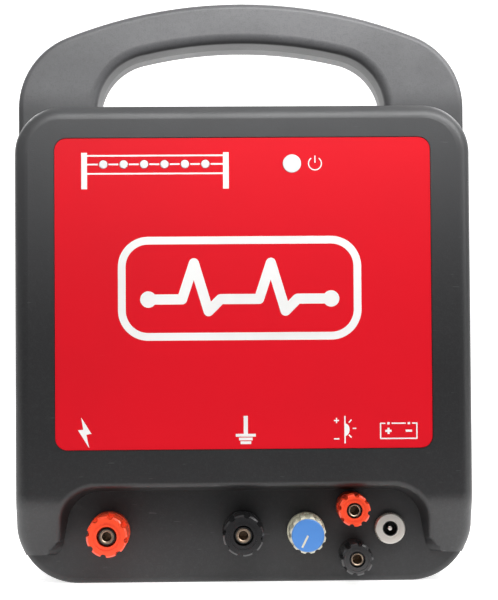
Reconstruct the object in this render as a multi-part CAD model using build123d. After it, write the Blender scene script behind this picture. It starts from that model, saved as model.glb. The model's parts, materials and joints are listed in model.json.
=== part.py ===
from build123d import *

import os
from math import atan2, cos, pi, radians, sin, sqrt

# Portable electric fence energizer: a two-shell plastic case with a carrying handle, a front
# control bay with four screw terminals, a level knob and a power jack, and the electronics inside.
#
# The part is drawn in a face frame: x to the right, y up, z out of the front, with z = 0 on the
# parting plane between the two shells and y = 0 on the base. stand_up() turns the face frame into
# the row frame, where +Z is up and the front faces -Y. Units are millimetres.

# ---- case ---------------------------------------------------------------------------------
BODY_HALF = 97.5  # half the body's width on the parting plane
BODY_TOP = 203.0
CORNER_TOP = 22.0
CORNER_LOW = 27.0
WALL = 3.0
FRONT_DEPTH = 42.0  # parting plane to front face
REAR_DEPTH = 38.0
DRAFT = 2.5 / 42.0  # how far a side wall leans in, for each millimetre of depth
FRONT_EDGE_R = 6.0
REAR_EDGE_R = 5.0
CHIN_EDGE_R = 2.5  # front edge of the low chin under the control bay

# ---- carrying handle ----------------------------------------------------------------------
HANDLE_TOP = 250.0
HANDLE_CROWN_R = 206.0
HANDLE_CORNER_R = 34.0
GRIP = 18.5  # thickness of the grip at the crown
OPENING_HALF = 62.0
OPENING_CORNER_R = 24.0
HANDLE_FRONT = 14.0
HANDLE_REAR = 20.0
HANDLE_EDGE_R = 2.5
HANDLE_GRIP_R = 4.0  # rounding where the fingers close round the front edge

# ---- control bay --------------------------------------------------------------------------
BAY_DEPTH = 16.0
BAY_TOP = 38.9
BAY_HALF = 72.6  # half the bay's width at its top, before the corners are rounded
BAY_FOOT_HALF = 77.5  # half its width at the foot of the side legs
BAY_CORNER_R = 14.0
BAY_FOOT_R = 4.0
BAY_DRAFT_DEG = 10.5
BAY_EDGE_R = 2.6
LEG_END = 12.3  # height at which the side legs stop
SLOPE_START = 35.0  # height at which the legs begin to lean back
SLOPE_DROP = 13.0  # how far they have leaned back at their ends
SLOPE_BLEND_R = 14.0

# ---- shell screws, gasket and wall hangers --------------------------------------------------
SHELL_SCREWS = [(86.0, 27.0), (86.0, 184.0), (79.0, 214.0)]  # repeated on the left side
SCREW_R = 1.95
SCREW_FIT = 0.05
SCREW_GRIP = 9.0  # length of thread in the front boss
SCREW_HEAD_R = 3.9
SCREW_HEAD_H = 2.6
HEAD_FIT = 0.5
BOSS_R = 4.6
REAR_BOSS_R = 6.2
BOSS_FLOOR = 8.0  # rear boss material under the screw head
GASKET_WIDTH = 1.1
GASKET_DEPTH = 1.2
KEYHOLE_X = 50.0
KEYHOLE_Y = 168.0
KEYHOLE_R = 4.5
KEYHOLE_SLOT_R = 2.4
KEYHOLE_RISE = 10.0
KEYHOLE_POCKET = 6.0  # depth of the pocket behind the keyhole, wall included

# ---- label and indicator lights -----------------------------------------------------------
LABEL_WIDTH = 156.5
LABEL_HEIGHT = 129.5
LABEL_LOW = 57.4
LABEL_R = 5.0
LABEL_RECESS = 0.8
LABEL_THICK = 0.5
LABEL_GAP = 0.25
LAMP_Y = 176.0
STATUS_X = 20.6
STATUS_R = 3.8
LEVEL_FIRST_X = -58.0
LEVEL_PITCH = 8.5
LEVEL_COUNT = 6
LEVEL_R = 1.8
LAMP_FIT = 0.1

# ---- screw terminals, each at (x, y) on the bay panel ----------------------------------------
TERMINALS = {
    "fence_post": (-57.0, 22.0, "large"),
    "earth_post": (-0.7, 22.0, "large"),
    "solar_plus_post": (45.2, 31.9, "small"),
    "solar_minus_post": (46.2, 11.8, "small"),
}
SOCKET_R = 2.0  # takes a 4 mm plug
SOCKET_DEPTH = 14.0
SOCKET_LEAD = 0.35  # width of the cone at the socket's mouth
SIZES = {
    "large": dict(stud_r=2.95, cap_r=8.5, notch_r=1.3, pocket_r=4.2, ring_r=3.45, collar_r=8.7,
                  washer_r=6.6, bush_r=7.0, spigot_r=4.4, nut_af=10.0, travel=4.0,
                  tag=11.5),
    "small": dict(stud_r=2.45, cap_r=6.6, notch_r=1.1, pocket_r=3.3, ring_r=2.85, collar_r=6.5,
                  washer_r=5.0, bush_r=5.6, spigot_r=3.6, nut_af=8.0, travel=3.2,
                  tag=9.0),
}
STUD_FIT = 0.05
NOTCHES = 8
COLLAR_H = 5.0
WASHER_H = 0.8
PLAY = 0.1  # gap between pieces that part from each other
CAP_H = 14.0
CAP_EDGE = 0.7
CAP_SKIRT = 2.5  # plain band at the foot of the cap, below its notches
CAP_STEP = 1.5  # width of the shallow step around the cap's pocket
RING_H = 1.3
RING_PLAY = 0.5  # room left under the stop ring when the cap is fully out
STUD_SET_BACK = 1.0  # the stud's tip is this far inside the closed cap
STUD_TAIL = 16.0
BUSH_H = 2.0
NUT_H = 3.5
TAG_H = 0.8
TAG_RIM = 2.2
TAG_NECK = 1.6
BARREL_LENGTH = 4.0
BARREL_WALL = 0.5
SPIGOT_FIT = 0.1

# ---- level knob and its potentiometer --------------------------------------------------------
KNOB_X, KNOB_Y = 26.0, 21.6
KNOB_R = 7.6
KNOB_SKIRT_R = 8.0
KNOB_SKIRT_H = 3.0
KNOB_FLUTES = 12
KNOB_FLUTE_R = 1.3
KNOB_FLUTE_DEPTH = 0.7
KNOB_GAP = 0.6
KNOB_H = 16.6
KNOB_HOLLOW_R = 6.4
KNOB_HOLLOW_H = 5.0
KNOB_CAP_R = 6.8
KNOB_CAP_SEAT = 1.6
KNOB_CAP_PROUD = 0.6
KNOB_POINTER = 0.8
KNOB_POINTER_END = 5.5
KNOB_REST_DEG = 153.4  # where the pointer rests, turned from straight up
SHAFT_R = 2.95
SHAFT_FIT = 0.05
SHAFT_TOP = 13.0  # above the bay panel
BUSHING_R = 3.5
BUSHING_H = 4.6
POT_R = 8.0
POT_H = 9.0
POT_NUT_AF = 10.0
POT_NUT_H = 1.8
LUG_X = (-3.6, 0.0, 3.6)
LUG_LENGTH = 4.0

# ---- power jack ------------------------------------------------------------------------------
JACK_X, JACK_Y = 61.6, 22.5
JACK_R = 4.3
JACK_BORE_R = 2.85
JACK_BORE_DEPTH = 9.5
JACK_PROUD = 3.1
JACK_NUT_R = 6.4
JACK_NUT_H = 3.5
JACK_NUT_EDGE = 0.35
JACK_BODY_R = 5.6
JACK_BODY_H = 13.0
JACK_LINING = 1.1  # thickness of the plated shell's wall
JACK_PIN_R = 1.05
JACK_PIN_SET_BACK = 0.8
JACK_TAIL = 2.0  # length of the pin's thinner tail, set in the insert
JACK_TAIL_R = 0.85
JACK_TAB_X = 2.2
JACK_TAB = 5.0
JACK_FIT = 0.1

# ---- electronics -----------------------------------------------------------------------------
BOARD_THICK = 1.6
BOARD_HALF = 74.0
BOARD_LOW, BOARD_TOP = 56.0, 154.0
BOARD_GAP = 8.0  # from the rear wall to the board
STANDOFF_R = 4.0
STANDOFF_INSET = 4.5
BOARD_SCREW_R = 1.25
BOARD_SCREW_L = 6.0
BOARD_HEAD_R = 2.7
BOARD_HEAD_H = 1.8
DISPLAY_LOW, DISPLAY_HIGH = 169.0, 183.0
DISPLAY_LEFT, DISPLAY_RIGHT = -64.0, 31.0
DISPLAY_GAP = 6.6  # from the front wall to the display board
DISPLAY_BOSSES = [(-6.0, 176.0), (8.0, 176.0)]
DISPLAY_BOSS_R = 3.0
TRANSFORMER_X, TRANSFORMER_Y = -37.0, 106.0
CORE_WIDTH, CORE_HEIGHT, CORE_STACK = 46.0, 40.0, 20.0
CORE_LIMB = 7.0
COIL_BULGE = 7.0
STRAP_FOOT = 9.0
STORE_AT = (16.0, 88.0)
STORE_R = 17.5
STORE_H = 48.0
INPUT_CAP_AT = (54.0, 88.0)
FLYBACK_AT = (54.0, 116.0)
SINK_AT = (10.0, 128.0)
SINK_FINS = 6
CHIP_AT = (-40.0, 142.0)
LEAD_R = 1.2
LEAD_BEND = 2.5
LEAD_RISE = 46.0  # height at which the leads turn back towards the main board
PLUG_LOW = 57.5
PLUG_MARGIN = 2.0
MINUS_PLUG_X = 34.2
DISPLAY_LEAD_AT = (1.0, 172.0)
DISPLAY_LEAD_Z = 4.0

# ---- worked out from the values above ----------------------------------------------------------
BAY_Z = FRONT_DEPTH - BAY_DEPTH
PANEL_BACK = BAY_Z - WALL
CROWN_Y = HANDLE_TOP - HANDLE_CROWN_R
BOARD_BACK = -REAR_DEPTH + WALL + BOARD_GAP
BOARD_FRONT = BOARD_BACK + BOARD_THICK
DISPLAY_FRONT = FRONT_DEPTH - WALL - DISPLAY_GAP
LABEL_FACE = FRONT_DEPTH - LABEL_RECESS + LABEL_THICK
LABEL_MID_Y = LABEL_LOW + LABEL_HEIGHT / 2
HANDLE_FOOT = BODY_TOP - HANDLE_CORNER_R
PLUG_Z = BOARD_FRONT + 4.0
BIG = 400.0  # longer than the whole object


# ---- helpers ---------------------------------------------------------------------------------
def stand_up(shape):
    """Turns a face-frame shape into the row frame."""
    return Rot(90, 0, 0) * shape


def disc(r, z0, z1, x=0.0, y=0.0):
    """A cylinder along z."""
    return Pos(x, y, (z0 + z1) / 2) * Cylinder(r, z1 - z0)


def tube(r_out, r_in, z0, z1, x=0.0, y=0.0):
    return disc(r_out, z0, z1, x, y) - disc(r_in, z0 - 1, z1 + 1, x, y)


def block(x0, x1, y0, y1, z0, z1):
    return Pos((x0 + x1) / 2, (y0 + y1) / 2, (z0 + z1) / 2) * Box(x1 - x0, y1 - y0, z1 - z0)


def hexagon(across_flats, z0, z1, x=0.0, y=0.0):
    flat = RegularPolygon(across_flats / sqrt(3), 6)
    return Pos(x, y, z0) * extrude(flat, z1 - z0)


def mirrored(points):
    """The points, and their copies across the middle plane."""
    return [(sign * x, y) for sign in (-1, 1) for x, y in points]


def rims(shape, z):
    """The edges of a shape that lie in the plane at height z."""
    return shape.edges().filter_by(lambda e: abs(e.bounding_box().min.Z - z) < 1e-4
                                   and abs(e.bounding_box().max.Z - z) < 1e-4)


# ---- outlines ----------------------------------------------------------------------------------
def body_outline(inset, low=0.0):
    """The body seen from the front, with every side but the base moved in by inset."""
    top = BODY_TOP - inset
    sheet = Pos(0, (low + top) / 2) * Rectangle(2 * (BODY_HALF - inset), top - low)
    upper = sheet.vertices().group_by(Axis.Y)[-1]
    sheet = fillet(upper, CORNER_TOP - inset)
    lower = sheet.vertices().group_by(Axis.Y)[0]
    return fillet(lower, CORNER_LOW - inset)


def arch(half, crown_r, corner_r, foot):
    """An arch of one crown arc and two corner arcs, with straight legs down to foot."""
    corner_x = half - corner_r
    reach = crown_r - corner_r
    corner_y = CROWN_Y + sqrt(reach**2 - corner_x**2)
    turn = atan2(corner_x, corner_y - CROWN_Y)
    join = (crown_r * sin(turn), CROWN_Y + crown_r * cos(turn))
    mid = (pi / 2 - turn) / 2
    bulge = (corner_x + corner_r * cos(mid), corner_y + corner_r * sin(mid))
    top = (0, CROWN_Y + crown_r)
    left = [(-x, y) for x, y in ((half, corner_y), bulge, join)]
    edges = [
        Line((-half, foot), left[0]),
        ThreePointArc(*left),
        ThreePointArc(left[2], top, join),
        ThreePointArc(join, bulge, (half, corner_y)),
        Line((half, corner_y), (half, foot)),
        Line((half, foot), (-half, foot)),
    ]
    return make_face(edges)


def handle_outline(inset, foot):
    """The handle seen from the front, with its outside moved in and its opening widened."""
    outside = arch(BODY_HALF - inset, HANDLE_CROWN_R - inset, HANDLE_CORNER_R - inset, foot)
    inside = arch(OPENING_HALF + inset, HANDLE_CROWN_R - GRIP + inset,
                  OPENING_CORNER_R + inset, foot - 1)
    return outside - inside


def drafted(outline, depth, **kwargs):
    """A block from the parting plane to depth, leaning in by the draft."""
    near = outline(0.0, **kwargs)
    far = outline(DRAFT * abs(depth), **kwargs)
    return loft([near.face(), (Pos(0, 0, depth) * far).face()], ruled=True)


def bay_cutter(grow, floor_z):
    """The space of the control bay, open to the front and to the base."""
    side = BODY_HALF + 20
    foot = LEG_END + grow
    corners = [(-side, -20), (-side, foot), (-BAY_FOOT_HALF - grow, foot),
               (-BAY_HALF - grow, BAY_TOP + grow), (BAY_HALF + grow, BAY_TOP + grow),
               (BAY_FOOT_HALF + grow, foot), (side, foot), (side, -20)]
    sheet = make_face(Polyline(*corners, close=True))
    tops = sheet.vertices().filter_by(lambda v: abs(v.Y - BAY_TOP - grow) < 1e-3)
    sheet = fillet(tops, BAY_CORNER_R + grow)
    feet = sheet.vertices().filter_by(
        lambda v: abs(v.Y - foot) < 1e-3 and abs(v.X) < BAY_FOOT_HALF + grow + 1)
    sheet = fillet(feet, BAY_FOOT_R)
    return Pos(0, 0, floor_z) * extrude(sheet, FRONT_DEPTH, taper=-BAY_DRAFT_DEG)


def slope_cutter(set_in):
    """What is taken off the front so that the legs lean back; set_in moves it into the wall."""
    face = FRONT_DEPTH - set_in
    rise = SLOPE_START - LEG_END
    floor = BAY_Z - set_in
    low = SLOPE_START - (FRONT_DEPTH - BAY_Z) * rise / SLOPE_DROP
    side = [(SLOPE_START, face), (low, floor), (-20, floor), (-20, 2 * face), (SLOPE_START, 2 * face)]
    sheet = make_face(Polyline(*side, close=True))
    return Pos(-BIG / 2, 0, 0) * extrude(Plane.YZ * sheet, BIG)


# ---- the two shells ------------------------------------------------------------------------------
def front_skin():
    """The solid outside shape of the front shell's body."""
    body = drafted(body_outline, FRONT_DEPTH) - slope_cutter(0.0)
    crease = body.edges().filter_by(Axis.X).filter_by(
        lambda e: abs((e @ 0.5).Y - SLOPE_START) < 1e-3 and abs((e @ 0.5).Z - FRONT_DEPTH) < 1e-3)
    body = fillet(crease, SLOPE_BLEND_R)
    front_edge = body.edges().filter_by(
        lambda e: e.bounding_box().min.Z > BAY_Z + 0.5 and abs(e.center().X) > BODY_HALF - 20
        or abs(e.bounding_box().min.Z - FRONT_DEPTH) < 1e-3)
    body = fillet(front_edge, FRONT_EDGE_R)
    body = body - bay_cutter(0.0, BAY_Z)
    bay_edge = body.edges().filter_by(
        lambda e: e.bounding_box().min.Z > BAY_Z + 1 and e.bounding_box().max.Y < BAY_TOP + 10
        and max(abs(e.bounding_box().min.X), abs(e.bounding_box().max.X)) < BAY_FOOT_HALF + 6)
    body = fillet(bay_edge, BAY_EDGE_R)
    return body - chin_waste()


def chin_waste():
    """What is taken off the chin to round its front edge."""
    rounded = drafted(body_outline, BAY_Z)
    rounded = fillet(rims(rounded, BAY_Z), CHIN_EDGE_R)
    corner = block(-BIG, BIG, -BIG, LEG_END, BAY_Z - CHIN_EDGE_R - 0.4, BAY_Z + 1)
    return corner - rounded


def handle_half(depth, grip_r):
    """One half of the handle as a solid, rounded on its far edges."""
    half = drafted(handle_outline, depth, foot=HANDLE_FOOT)

    def on_opening(edge):
        mid = edge @ 0.5
        return abs(mid.X) < OPENING_HALF + 2 and mid.Y < HANDLE_TOP - GRIP + 3

    outside = rims(half, depth).filter_by(
        lambda e: not on_opening(e) and (e @ 0.5).Y > HANDLE_FOOT + 0.1)
    half = fillet(outside, HANDLE_EDGE_R)
    return fillet(rims(half, depth).filter_by(on_opening), grip_r)


def handle_hollow(depth):
    """The space inside one half of the handle, which stops at the body's own wall."""
    side = 1 if depth > 0 else -1
    room = drafted(lambda inset, foot: handle_outline(inset + WALL, foot),
                   depth - side * WALL, foot=HANDLE_FOOT + WALL)
    return room - drafted(body_outline, depth)


def body_hollow(depth):
    """The space inside one half of the body."""
    side = 1 if depth > 0 else -1
    return drafted(lambda inset: body_outline(inset + WALL, low=WALL), depth - side * WALL)


def front_shell():
    """Front half of the case, with the control bay, screw pilots and lamp windows."""
    room = body_hollow(FRONT_DEPTH) - slope_cutter(WALL) - bay_cutter(WALL, PANEL_BACK)
    grip_room = handle_hollow(HANDLE_FRONT)
    for x, y in mirrored(SHELL_SCREWS):
        boss = disc(BOSS_R, 0, FRONT_DEPTH, x, y)
        room, grip_room = room - boss, grip_room - boss
    for x, y in DISPLAY_BOSSES:
        room = room - disc(DISPLAY_BOSS_R, DISPLAY_FRONT, FRONT_DEPTH, x, y)
    shell = front_skin() + handle_half(HANDLE_FRONT, HANDLE_GRIP_R) - room - grip_room
    for x, y in mirrored(SHELL_SCREWS):
        shell = shell - disc(SCREW_R + SCREW_FIT, -1, SCREW_GRIP + 0.5, x, y)
    for x, y in DISPLAY_BOSSES:
        pilot = BOARD_SCREW_L - BOARD_THICK + 0.5
        shell = shell - disc(BOARD_SCREW_R + SCREW_FIT, DISPLAY_FRONT - 1, DISPLAY_FRONT + pilot, x, y)
    recess = label_outline(LABEL_GAP)
    shell = shell - Pos(0, 0, FRONT_DEPTH - LABEL_RECESS) * extrude(recess, LABEL_RECESS + 1)
    shell = shell - disc(STATUS_R + LAMP_FIT, 0, FRONT_DEPTH, STATUS_X, LAMP_Y)
    for x in level_places():
        shell = shell - disc(LEVEL_R + LAMP_FIT, 0, FRONT_DEPTH, x, LAMP_Y)
    for x, y, size in TERMINALS.values():
        shell = shell - disc(SIZES[size]["spigot_r"] + SPIGOT_FIT, PANEL_BACK - 5, BAY_Z + 5, x, y)
    shell = shell - disc(BUSHING_R + SPIGOT_FIT, PANEL_BACK - 5, BAY_Z + 5, KNOB_X, KNOB_Y)
    return shell - disc(JACK_R + JACK_FIT, PANEL_BACK - 5, BAY_Z + 5, JACK_X, JACK_Y)


def rear_shell():
    """Rear half of the case, with the screw tubes, board standoffs and wall hangers."""
    body = drafted(body_outline, -REAR_DEPTH)
    body = fillet(rims(body, -REAR_DEPTH).filter_by(lambda e: (e @ 0.5).Y > 1e-3), REAR_EDGE_R)
    room, grip_room = body_hollow(-REAR_DEPTH), handle_hollow(-HANDLE_REAR)
    for x, y in mirrored(SHELL_SCREWS):
        boss = disc(REAR_BOSS_R, -REAR_DEPTH, 0, x, y)
        room, grip_room = room - boss, grip_room - boss
    for x, y in board_corners():
        room = room - disc(STANDOFF_R, -REAR_DEPTH, BOARD_BACK, x, y)
    for x in (-KEYHOLE_X, KEYHOLE_X):
        room = room - Pos(x, 0, 0) * keyhole_boss()
    shell = body + handle_half(-HANDLE_REAR, HANDLE_EDGE_R) - room - grip_room
    for x, y in mirrored(SHELL_SCREWS):
        back = -HANDLE_REAR if y > BODY_TOP else -REAR_DEPTH
        shell = shell - disc(SCREW_R + HEAD_FIT, -BOSS_FLOOR - 1, 1, x, y)
        shell = shell - disc(SCREW_HEAD_R + HEAD_FIT, back - 1, -BOSS_FLOOR, x, y)
    for x, y in board_corners():
        pilot = BOARD_SCREW_L - BOARD_THICK + 0.5
        shell = shell - disc(BOARD_SCREW_R + SCREW_FIT, BOARD_BACK - pilot, BOARD_BACK + 1, x, y)
    for x in (-KEYHOLE_X, KEYHOLE_X):
        shell = shell - Pos(x, 0, 0) * keyhole()
    return shell - gasket_band(-GASKET_DEPTH, 1)


def slot_prism(r, z0, z1):
    """A round-ended bar along y, from the keyhole's entry to the top of its slot."""
    bar = block(-r, r, KEYHOLE_Y, KEYHOLE_Y + KEYHOLE_RISE, z0, z1)
    return bar + disc(r, z0, z1, 0, KEYHOLE_Y) + disc(r, z0, z1, 0, KEYHOLE_Y + KEYHOLE_RISE)


def keyhole_boss():
    return slot_prism(KEYHOLE_R + 0.7 + WALL, -REAR_DEPTH + 1, -REAR_DEPTH + KEYHOLE_POCKET + WALL)


def keyhole():
    """Entry hole, slot and the pocket behind them that the screw head slides up in."""
    mouth = disc(KEYHOLE_R, -REAR_DEPTH - 1, -REAR_DEPTH + WALL, 0, KEYHOLE_Y)
    slot = slot_prism(KEYHOLE_SLOT_R, -REAR_DEPTH - 1, -REAR_DEPTH + WALL)
    pocket = slot_prism(KEYHOLE_R + 0.7, -REAR_DEPTH + WALL, -REAR_DEPTH + KEYHOLE_POCKET)
    return mouth + slot + pocket


def gasket_band(z0, z1):
    """The ring that the gasket fills, in the middle of the body's wall."""
    outer = (WALL - GASKET_WIDTH) / 2
    inner = outer + GASKET_WIDTH
    ring = body_outline(outer, low=outer) - body_outline(inner, low=inner)
    return Pos(0, 0, z0) * extrude(ring, z1 - z0)


def shell_screw(x, y):
    """A pan-head screw that comes in from the rear."""
    shank = disc(SCREW_R, -BOSS_FLOOR, SCREW_GRIP, x, y)
    head = disc(SCREW_HEAD_R, -BOSS_FLOOR - SCREW_HEAD_H, -BOSS_FLOOR, x, y)
    head = fillet(rims(head, -BOSS_FLOOR - SCREW_HEAD_H), 1.0)
    drive = disc(1.3, -BOSS_FLOOR - SCREW_HEAD_H - 1, -BOSS_FLOOR - SCREW_HEAD_H + 1.4, x, y)
    return shank + head - drive


# ---- label and lights ----------------------------------------------------------------------------
def label_outline(grow):
    sheet = Pos(0, LABEL_MID_Y) * Rectangle(LABEL_WIDTH + 2 * grow, LABEL_HEIGHT + 2 * grow)
    return fillet(sheet.vertices(), LABEL_R + grow)


def level_places():
    return [LEVEL_FIRST_X + LEVEL_PITCH * i for i in range(LEVEL_COUNT)]


def front_label():
    sheet = Pos(0, 0, LABEL_FACE - LABEL_THICK) * extrude(label_outline(0), LABEL_THICK)
    sheet = sheet - disc(STATUS_R + LAMP_FIT, 0, BIG, STATUS_X, LAMP_Y)
    for x in level_places():
        sheet = sheet - disc(LEVEL_R + LAMP_FIT, 0, BIG, x, LAMP_Y)
    return sheet


def level_lamp(x):
    """A clear round lamp that stands on the display board and ends flush with the label."""
    lamp = disc(LEVEL_R, DISPLAY_FRONT, LABEL_FACE, x, LAMP_Y)
    lamp = fillet(rims(lamp, LABEL_FACE), 0.4)
    return lamp + disc(LEVEL_R + 0.5, DISPLAY_FRONT, DISPLAY_FRONT + 1.2, x, LAMP_Y)


def status_lens():
    """A white button lens, pushed in from behind up to its flange."""
    back = FRONT_DEPTH - WALL
    lens = disc(STATUS_R, back, LABEL_FACE + 0.3, STATUS_X, LAMP_Y)
    lens = fillet(rims(lens, LABEL_FACE + 0.3), 0.3)
    return lens + disc(STATUS_R + 1.2, back - 1.4, back, STATUS_X, LAMP_Y)


def status_led():
    stem = disc(1.5, DISPLAY_FRONT, DISPLAY_FRONT + 3.4, STATUS_X, LAMP_Y)
    return stem + disc(1.9, DISPLAY_FRONT, DISPLAY_FRONT + 1.0, STATUS_X, LAMP_Y)


# ---- screw terminals -------------------------------------------------------------------------------
def terminal(x, y, size):
    """The pieces of one screw terminal: its fixed stud and collar, and the cap that screws down."""
    s = SIZES[size]
    collar_top = BAY_Z + COLLAR_H
    washer_low = collar_top + PLAY
    cap_low = washer_low + WASHER_H + PLAY
    cap_top = cap_low + CAP_H
    tip = cap_top - STUD_SET_BACK
    ring_low = tip - 0.4 - RING_H
    pocket_floor = ring_low - s["travel"] - RING_PLAY
    bush_low = PANEL_BACK - BUSH_H
    stud = disc(s["stud_r"], BAY_Z - STUD_TAIL, tip, x, y)
    stud = stud - disc(SOCKET_R, tip - SOCKET_DEPTH, tip + 1, x, y)
    stud = chamfer(rims(stud, tip).filter_by(lambda e: e.radius < SOCKET_R + 0.1), SOCKET_LEAD)
    collar = disc(s["collar_r"], BAY_Z, collar_top, x, y)
    collar = fillet(rims(collar, collar_top), 0.6) + disc(s["spigot_r"], PANEL_BACK, BAY_Z, x, y)
    cap = disc(s["cap_r"], cap_low, cap_top, x, y)
    cap = chamfer(rims(cap, cap_top), CAP_EDGE)
    for i in range(NOTCHES):
        turn = radians(35 + 360 / NOTCHES * i)
        cap = cap - disc(s["notch_r"], cap_low + CAP_SKIRT, cap_top + 1,
                         x + s["cap_r"] * cos(turn), y + s["cap_r"] * sin(turn))
    cap = cap - disc(s["pocket_r"] + CAP_STEP, cap_top - 0.4, cap_top + 1, x, y)
    cap = cap - disc(s["pocket_r"], pocket_floor, cap_top + 1, x, y)
    cap = cap - disc(s["stud_r"] + STUD_FIT, cap_low - 1, cap_top, x, y)
    return {
        "stud": stud,
        "collar": collar - disc(s["stud_r"], 0, BIG, x, y),
        "clamp_washer": tube(s["washer_r"], s["stud_r"] + STUD_FIT, washer_low, washer_low + WASHER_H,
                             x, y),
        "cap": cap,
        "stop_rings": tube(s["ring_r"], s["stud_r"], ring_low, ring_low + RING_H, x, y),
        "rear_bushes": tube(s["bush_r"], s["stud_r"], bush_low, PANEL_BACK, x, y),
    }


def terminal_nuts(x, y, size):
    """The nut that holds the terminal, and the one that holds the ring tag against it."""
    s = SIZES[size]
    first = PANEL_BACK - BUSH_H
    second = first - NUT_H - TAG_H
    bore = disc(s["stud_r"], 0, BIG, x, y)
    return [hexagon(s["nut_af"], top - NUT_H, top, x, y) - bore for top in (first, second)]


def ring_tag(x, y, size, turn):
    """A ring tag between the two nuts, with its crimp barrel pointing turn degrees from +y."""
    s = SIZES[size]
    top = PANEL_BACK - BUSH_H - NUT_H
    tag = disc(s["stud_r"] + TAG_RIM, top - TAG_H, top)
    tag = tag + block(-TAG_NECK, TAG_NECK, 0, s["tag"], top - TAG_H, top)
    barrel = Pos(0, s["tag"] - BARREL_LENGTH / 2, top - TAG_H / 2) * Rot(90, 0, 0) * Cylinder(
        LEAD_R + BARREL_WALL, BARREL_LENGTH)
    tag = tag + barrel - disc(s["stud_r"], 0, BIG)
    return Pos(x, y, 0) * Rot(0, 0, turn) * tag


# ---- level knob --------------------------------------------------------------------------------------
def knob_body():
    """Fluted knob, hollow under its skirt, with a raised pointer on its seat for the cap."""
    low, top = BAY_Z + KNOB_GAP, BAY_Z + KNOB_GAP + KNOB_H
    knob = disc(KNOB_R, low, top)
    knob = chamfer(rims(knob, top), 0.5)
    for i in range(KNOB_FLUTES):
        turn = 2 * pi * i / KNOB_FLUTES
        reach = KNOB_R - KNOB_FLUTE_DEPTH + KNOB_FLUTE_R
        knob = knob - disc(KNOB_FLUTE_R, low + KNOB_SKIRT_H, top + 1, reach * cos(turn), reach * sin(turn))
    knob = knob + disc(KNOB_SKIRT_R, low, low + KNOB_SKIRT_H)
    knob = knob - disc(KNOB_CAP_R, top - KNOB_CAP_SEAT, top + 1)
    knob = knob - disc(KNOB_HOLLOW_R, low - 1, low + KNOB_HOLLOW_H)
    knob = knob - disc(SHAFT_R, low, BAY_Z + SHAFT_TOP)
    return Pos(KNOB_X, KNOB_Y, 0) * (knob + knob_pointer())


def knob_pointer():
    """The pointer's bar, from the middle of the knob towards its rim."""
    top = BAY_Z + KNOB_GAP + KNOB_H
    half = KNOB_POINTER / 2
    bar = block(-half, half, 0, KNOB_POINTER_END, top - KNOB_CAP_SEAT, top + KNOB_CAP_PROUD)
    return Rot(0, 0, KNOB_REST_DEG) * bar


def knob_cap():
    top = BAY_Z + KNOB_GAP + KNOB_H
    cap = disc(KNOB_CAP_R, top - KNOB_CAP_SEAT, top + KNOB_CAP_PROUD)
    cap = chamfer(rims(cap, top + KNOB_CAP_PROUD), 0.4)
    return Pos(KNOB_X, KNOB_Y, 0) * (cap - knob_pointer())


def pot_parts():
    """Potentiometer: body with its threaded bushing, shaft and panel nut."""
    body = disc(POT_R, PANEL_BACK - POT_H, PANEL_BACK) + disc(BUSHING_R, PANEL_BACK, BAY_Z + BUSHING_H)
    lugs = [block(dx - 0.6, dx + 0.6, POT_R - 1, POT_R + LUG_LENGTH, PANEL_BACK - POT_H + 1,
                  PANEL_BACK - POT_H + 1.8) for dx in LUG_X]
    for lug in lugs:
        body = body + lug
    tail = PANEL_BACK - POT_H + 2
    body = body - disc(SHAFT_R + SHAFT_FIT, tail - PLAY, BIG)
    shaft = disc(SHAFT_R, tail, BAY_Z + SHAFT_TOP)
    nut = hexagon(POT_NUT_AF, BAY_Z, BAY_Z + POT_NUT_H) - disc(BUSHING_R, 0, BIG)
    place = Pos(KNOB_X, KNOB_Y, 0)
    return {"pot_body": place * body, "pot_shaft": place * shaft, "pot_nut": place * nut}


# ---- power jack --------------------------------------------------------------------------------------
def jack_parts():
    """Panel power jack: plated shell, front nut, black insert and centre pin."""
    front = BAY_Z + JACK_PROUD
    floor = front - JACK_BORE_DEPTH
    back = PANEL_BACK - JACK_BODY_H
    insert_r = JACK_R - JACK_LINING
    shell = disc(JACK_R, PANEL_BACK, front) + disc(JACK_BODY_R, back, PANEL_BACK)
    shell = shell - disc(insert_r, back - 1, front + 1)
    nut = disc(JACK_NUT_R, BAY_Z, BAY_Z + JACK_NUT_H)
    nut = chamfer(rims(nut, BAY_Z + JACK_NUT_H), JACK_NUT_EDGE) - disc(JACK_R, 0, BIG)
    core = disc(insert_r, back - 1, front - 0.2) - disc(JACK_BORE_R, floor, BIG)
    for dx in (-JACK_TAB_X, JACK_TAB_X):
        core = core + block(dx - 0.8, dx + 0.8, -0.4, 0.4, back - JACK_TAB, back - 1)
    pin = disc(JACK_PIN_R, floor, front - JACK_PIN_SET_BACK)
    pin = fillet(rims(pin, front - JACK_PIN_SET_BACK), 0.5)
    pin = pin + disc(JACK_TAIL_R, floor - JACK_TAIL, floor)
    core = core - disc(JACK_TAIL_R, floor - JACK_TAIL, floor + 1)
    place = Pos(JACK_X, JACK_Y, 0)
    return {"dc_jack_shell": place * shell, "dc_jack_nut": place * nut,
            "dc_jack_core": place * core, "dc_jack_pin": place * pin}


# ---- electronics ---------------------------------------------------------------------------------------
def board_corners():
    x = BOARD_HALF - STANDOFF_INSET
    return [(sign * x, y) for y in (BOARD_LOW + STANDOFF_INSET, BOARD_TOP - STANDOFF_INSET)
            for sign in (-1, 1)]


def main_board():
    board = block(-BOARD_HALF, BOARD_HALF, BOARD_LOW, BOARD_TOP, BOARD_BACK, BOARD_FRONT)
    for x, y in board_corners():
        board = board - disc(BOARD_SCREW_R + 0.2, BOARD_BACK - 1, BOARD_FRONT + 1, x, y)
    return board


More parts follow.
